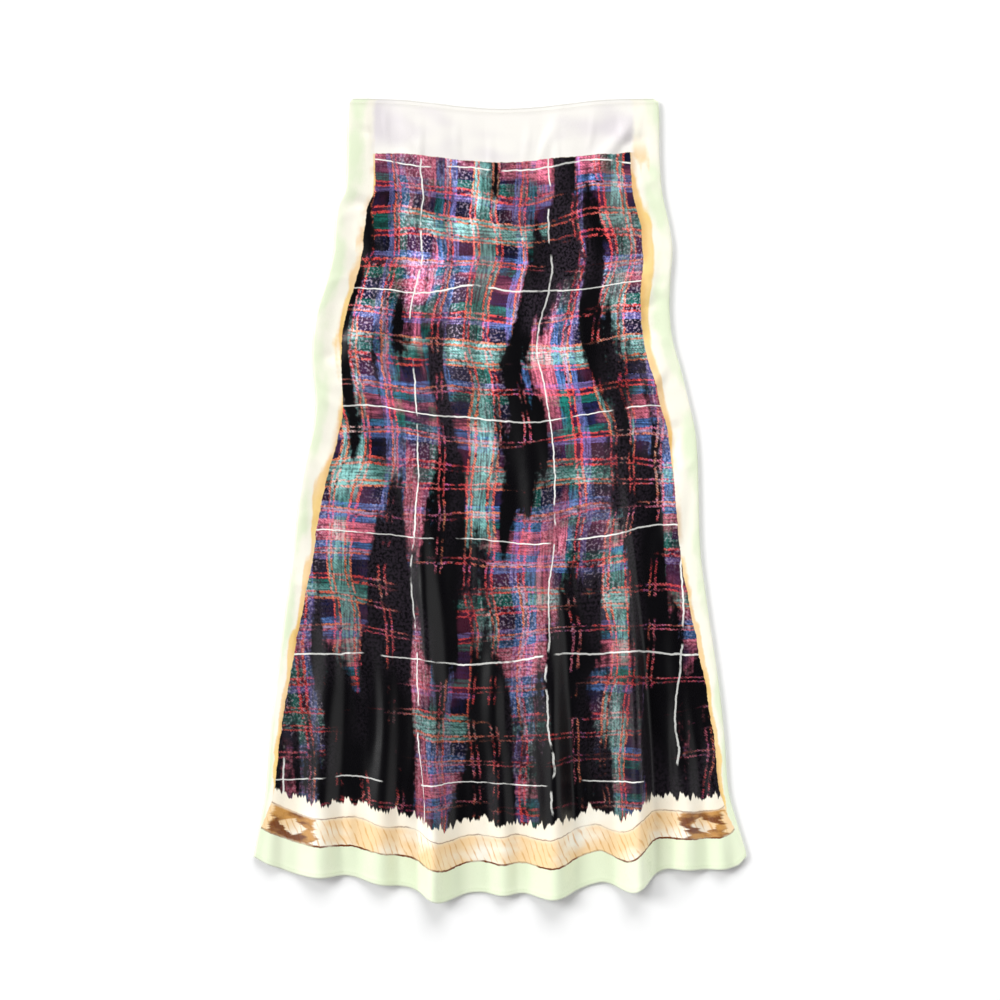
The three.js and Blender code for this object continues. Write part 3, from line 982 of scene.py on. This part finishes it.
sewing = {
    "pitch": 3.6,  # from one stitch to the next
    "stitchLength": 2.7,
    "stitchWidth": 0.42,
    "stitchHeight": 0.34,
    "sizes": (0.86, 1.08),  # smallest and largest, as shares
    "segments": 6,
    "rings": 5,
    "fromEdge": 4.6,
    "sinking": 0.05,  # how far a stitch lies in the cloth
    "backSinking": 0.7,  # share of its height that it lies deeper under the back, above the floor
}


def stitchPath(grid, side, atHem):
    # a row's points on the outside of a panel, and the direction out of the cloth at each
    points = grid[:, :, :3]
    normals = gridNormals(points) * side
    reach = grid[:, :, 6] if atHem else grid[:, :, 5]
    turned = clothLay["hemOutward"] * clothLay["hemThickness"]
    lift = clothLay["thickness"] / 2 + turned - sewing["sinking"] + sewing["stitchHeight"] / 2
    if side < 0:
        lift -= turned + sewing["stitchHeight"] * sewing["backSinking"]
    first = panelGrid["lipSteps"] + panelGrid["turnSteps"]
    path, outward = [], []
    for column in range(first, points.shape[1] - first):
        order = np.argsort(reach[:, column])
        depths = reach[order, column]
        place, normal = (
            np.array([np.interp(sewing["fromEdge"], depths, values[order, column, k]) for k in range(3)])
            for values in (points, normals)
        )
        path.append(place + normal * lift)
        outward.append(normal)
    return np.array(path) * mm, np.array(outward)


def buildStitchTree():
    tree = bpy.data.node_groups.new("stitchRow", "GeometryNodeTree")
    settings = {"Pitch": "Float", "Stitch Size": "Vector", "Thread": "Material", "Seed": "Int"}
    for name, kind in {"Geometry": "Geometry", **settings}.items():
        tree.interface.new_socket(name, in_out="INPUT", socket_type="NodeSocket" + kind)
    tree.interface.new_socket("Geometry", in_out="OUTPUT", socket_type="NodeSocketGeometry")
    make, link = tree.nodes.new, tree.links.new
    given, result = make("NodeGroupInput"), make("NodeGroupOutput")
    row, spaced = make("GeometryNodeMeshToCurve"), make("GeometryNodeResampleCurve")
    spaced.mode = "LENGTH"
    link(given.outputs["Geometry"], row.inputs["Mesh"])
    link(row.outputs["Curve"], spaced.inputs["Curve"])
    link(given.outputs["Pitch"], spaced.inputs["Length"])
    outward = make("GeometryNodeInputNamedAttribute")
    outward.data_type = "FLOAT_VECTOR"
    setInputs(outward, Name="outward")
    tangent, turned = make("GeometryNodeInputTangent"), make("FunctionNodeAxesToRotation")
    turned.primary_axis, turned.secondary_axis = "Z", "X"
    link(outward.outputs["Attribute"], turned.inputs["Primary Axis"])
    link(tangent.outputs["Tangent"], turned.inputs["Secondary Axis"])
    bead = make("GeometryNodeMeshUVSphere")
    setInputs(bead, Segments=sewing["segments"], Rings=sewing["rings"], Radius=0.5)
    lying, shaped = make("GeometryNodeTransform"), make("GeometryNodeTransform")
    setInputs(lying, Rotation=(0, math.pi / 2, 0))
    link(bead.outputs["Mesh"], lying.inputs["Geometry"])
    link(lying.outputs["Geometry"], shaped.inputs["Geometry"])
    link(given.outputs["Stitch Size"], shaped.inputs["Scale"])
    uneven = make("FunctionNodeRandomValue")
    uneven.data_type = "FLOAT"
    uneven.inputs[2].default_value, uneven.inputs[3].default_value = sewing["sizes"]
    link(given.outputs["Seed"], uneven.inputs["Seed"])
    stitches = make("GeometryNodeInstanceOnPoints")
    link(spaced.outputs["Curve"], stitches.inputs["Points"])
    link(shaped.outputs["Geometry"], stitches.inputs["Instance"])
    link(turned.outputs["Rotation"], stitches.inputs["Rotation"])
    link(uneven.outputs[1], stitches.inputs["Scale"])
    real, coloured = make("GeometryNodeRealizeInstances"), make("GeometryNodeSetMaterial")
    link(stitches.outputs["Instances"], real.inputs["Geometry"])
    link(real.outputs["Geometry"], coloured.inputs["Geometry"])
    link(given.outputs["Thread"], coloured.inputs["Material"])
    link(coloured.outputs["Geometry"], result.inputs["Geometry"])
    return tree


threadLook = {
    "mint": paint(222, 238, 202),
    "ivory": paint(250, 247, 240),
    "shade": paint(196, 192, 170),
    "shading": 0.2,
    "turn": (-0.05, 0.05),  # metres up the skirt between which mint turns to ivory
    "roughness": (0.2, 0.42),  # how much it varies, and the least
    "specular": 0.5,
    "twist": 9000,
    "twistSlant": 1.7,
    "bump": 0.4,
    "bumpDepth": 0.1,
}


def threadMaterial():
    # mint thread at the hem and ivory thread at the waist, with a fine twist
    look = threadLook
    material, shader = newMaterial("sewingThread")
    where = material.node_tree.nodes.new("ShaderNodeTexCoord").outputs["Object"]
    x, y, _ = parts(where)
    fuzz = noise(where, "threadFuzz")
    colour = tint(rise(y, *look["turn"]), look["mint"], look["ivory"])
    colour = tint(times(fuzz, look["shading"]), colour, look["shade"])
    finishShader(shader, colour, linear(fuzz, *look["roughness"]), look["specular"])
    twist = times(plus(x, times(y, look["twistSlant"])), look["twist"])
    addBump(shader, calc("SINE", twist), look["bump"], look["bumpDepth"])
    return material


stitchTree, thread = buildStitchTree(), threadMaterial()


def sewRows(name, grid, side, seed):
    # the hem row and the waist row of one panel, as one plain mesh
    vertices, edges, outward = [], [], []
    for atHem in (True, False):
        path, normals = stitchPath(grid, side, atHem)
        edges += [(len(vertices) + k, len(vertices) + k + 1) for k in range(len(path) - 1)]
        vertices += path.tolist()
        outward += normals.tolist()
    guide = bpy.data.meshes.new(name + "Guide")
    guide.from_pydata(vertices, edges, [])
    attribute = guide.attributes.new("outward", "FLOAT_VECTOR", "POINT")
    attribute.data.foreach_set("vector", np.array(outward, np.float32).ravel())
    piece = addObject(name, guide)
    modifier = piece.modifiers.new("stitches", "NODES")
    modifier.node_group = stitchTree
    size = [sewing[key] * mm for key in ("stitchLength", "stitchWidth", "stitchHeight")]
    wanted = {"Pitch": sewing["pitch"] * mm, "Stitch Size": size, "Thread": thread, "Seed": seed}
    for item in stitchTree.interface.items_tree:
        if item.in_out == "INPUT" and item.name in wanted:
            modifier[item.identifier] = wanted[item.name]
    bpy.context.view_layer.update()
    evaluated = piece.evaluated_get(bpy.context.evaluated_depsgraph_get())
    mesh = bpy.data.meshes.new_from_object(evaluated)
    piece.modifiers.clear()
    piece.data = mesh
    mesh.name = name
    return piece


frontSewing = sewRows("frontSewing", frontGrid, 1, 4)
backSewing = sewRows("backSewing", backGrid, -1, 9)
print("sewing made:", len(frontSewing.data.polygons), len(backSewing.data.polygons), "faces")


# Floor and light

studio = {
    "floorSize": 8,
    "floorColour": (0.96, 0.96, 0.96),
    "floorRoughness": 0.9,
    "floorSpecular": 0.1,
    "floorDrop": 0.2,  # how far the floor lies under the cloth
    "world": 0.89,
    "overhead": 0.03,  # share of that light that comes from straight above
    "overheadRise": (0.60, 0.90),
    "keyLight": {"from": (-0.86, 0.40, 0.66), "strength": 1.75, "spread": 28, "gloss": True},
    "waistLight": {"from": (0.04, 0.94, 0.36), "strength": 2.5, "spread": 50, "gloss": False},
}


def makeFloor():
    mesh = bpy.data.meshes.new("floor")
    half = studio["floorSize"] / 2
    corners = [(-half, -half, 0), (half, -half, 0), (half, half, 0), (-half, half, 0)]
    mesh.from_pydata(corners, [], [(0, 1, 2, 3)])
    floor = addObject("floor", mesh)
    floor.location.z = -studio["floorDrop"] * mm
    material, shader = newMaterial("paleFloor")
    finishShader(shader, (*studio["floorColour"], 1), studio["floorRoughness"], studio["floorSpecular"])
    mesh.materials.append(material)


def makeLight(name):
    plan = studio[name]
    data = bpy.data.lights.new(name, "SUN")
    data.energy = plan["strength"]
    data.angle = math.radians(plan["spread"])
    light = addObject(name, data)
    light.rotation_euler = (-Vector(plan["from"])).to_track_quat("-Z", "Y").to_euler()
    light.visible_glossy = plan["gloss"]


def makeWorld():
    # even light from all round, and less from straight above, so that the satin's slopes stand out
    world = bpy.data.worlds.new("studioWorld")
    world.use_nodes = True
    tree = world.node_tree
    _, _, up = parts(tree.nodes.new("ShaderNodeTexCoord").outputs["Generated"])
    above = rise(up, *studio["overheadRise"])
    strength = linear(above, studio["world"] * (studio["overhead"] - 1), studio["world"])
    setInputs(tree.nodes["Background"], Color=(1, 1, 1, 1), Strength=strength)
    bpy.context.scene.world = world


makeFloor()
makeWorld()
makeLight("keyLight")
makeLight("waistLight")
bpy.context.scene.view_settings.view_transform = "Standard"
print("studio made")


# What each piece stands for

def declare(piece, sewn, node):
    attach(piece, "root")
    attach(sewn, "root")
    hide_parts(node)


declare(frontPanel, frontSewing, "front_panel")
declare(backPanel, backSewing, "back_panel")
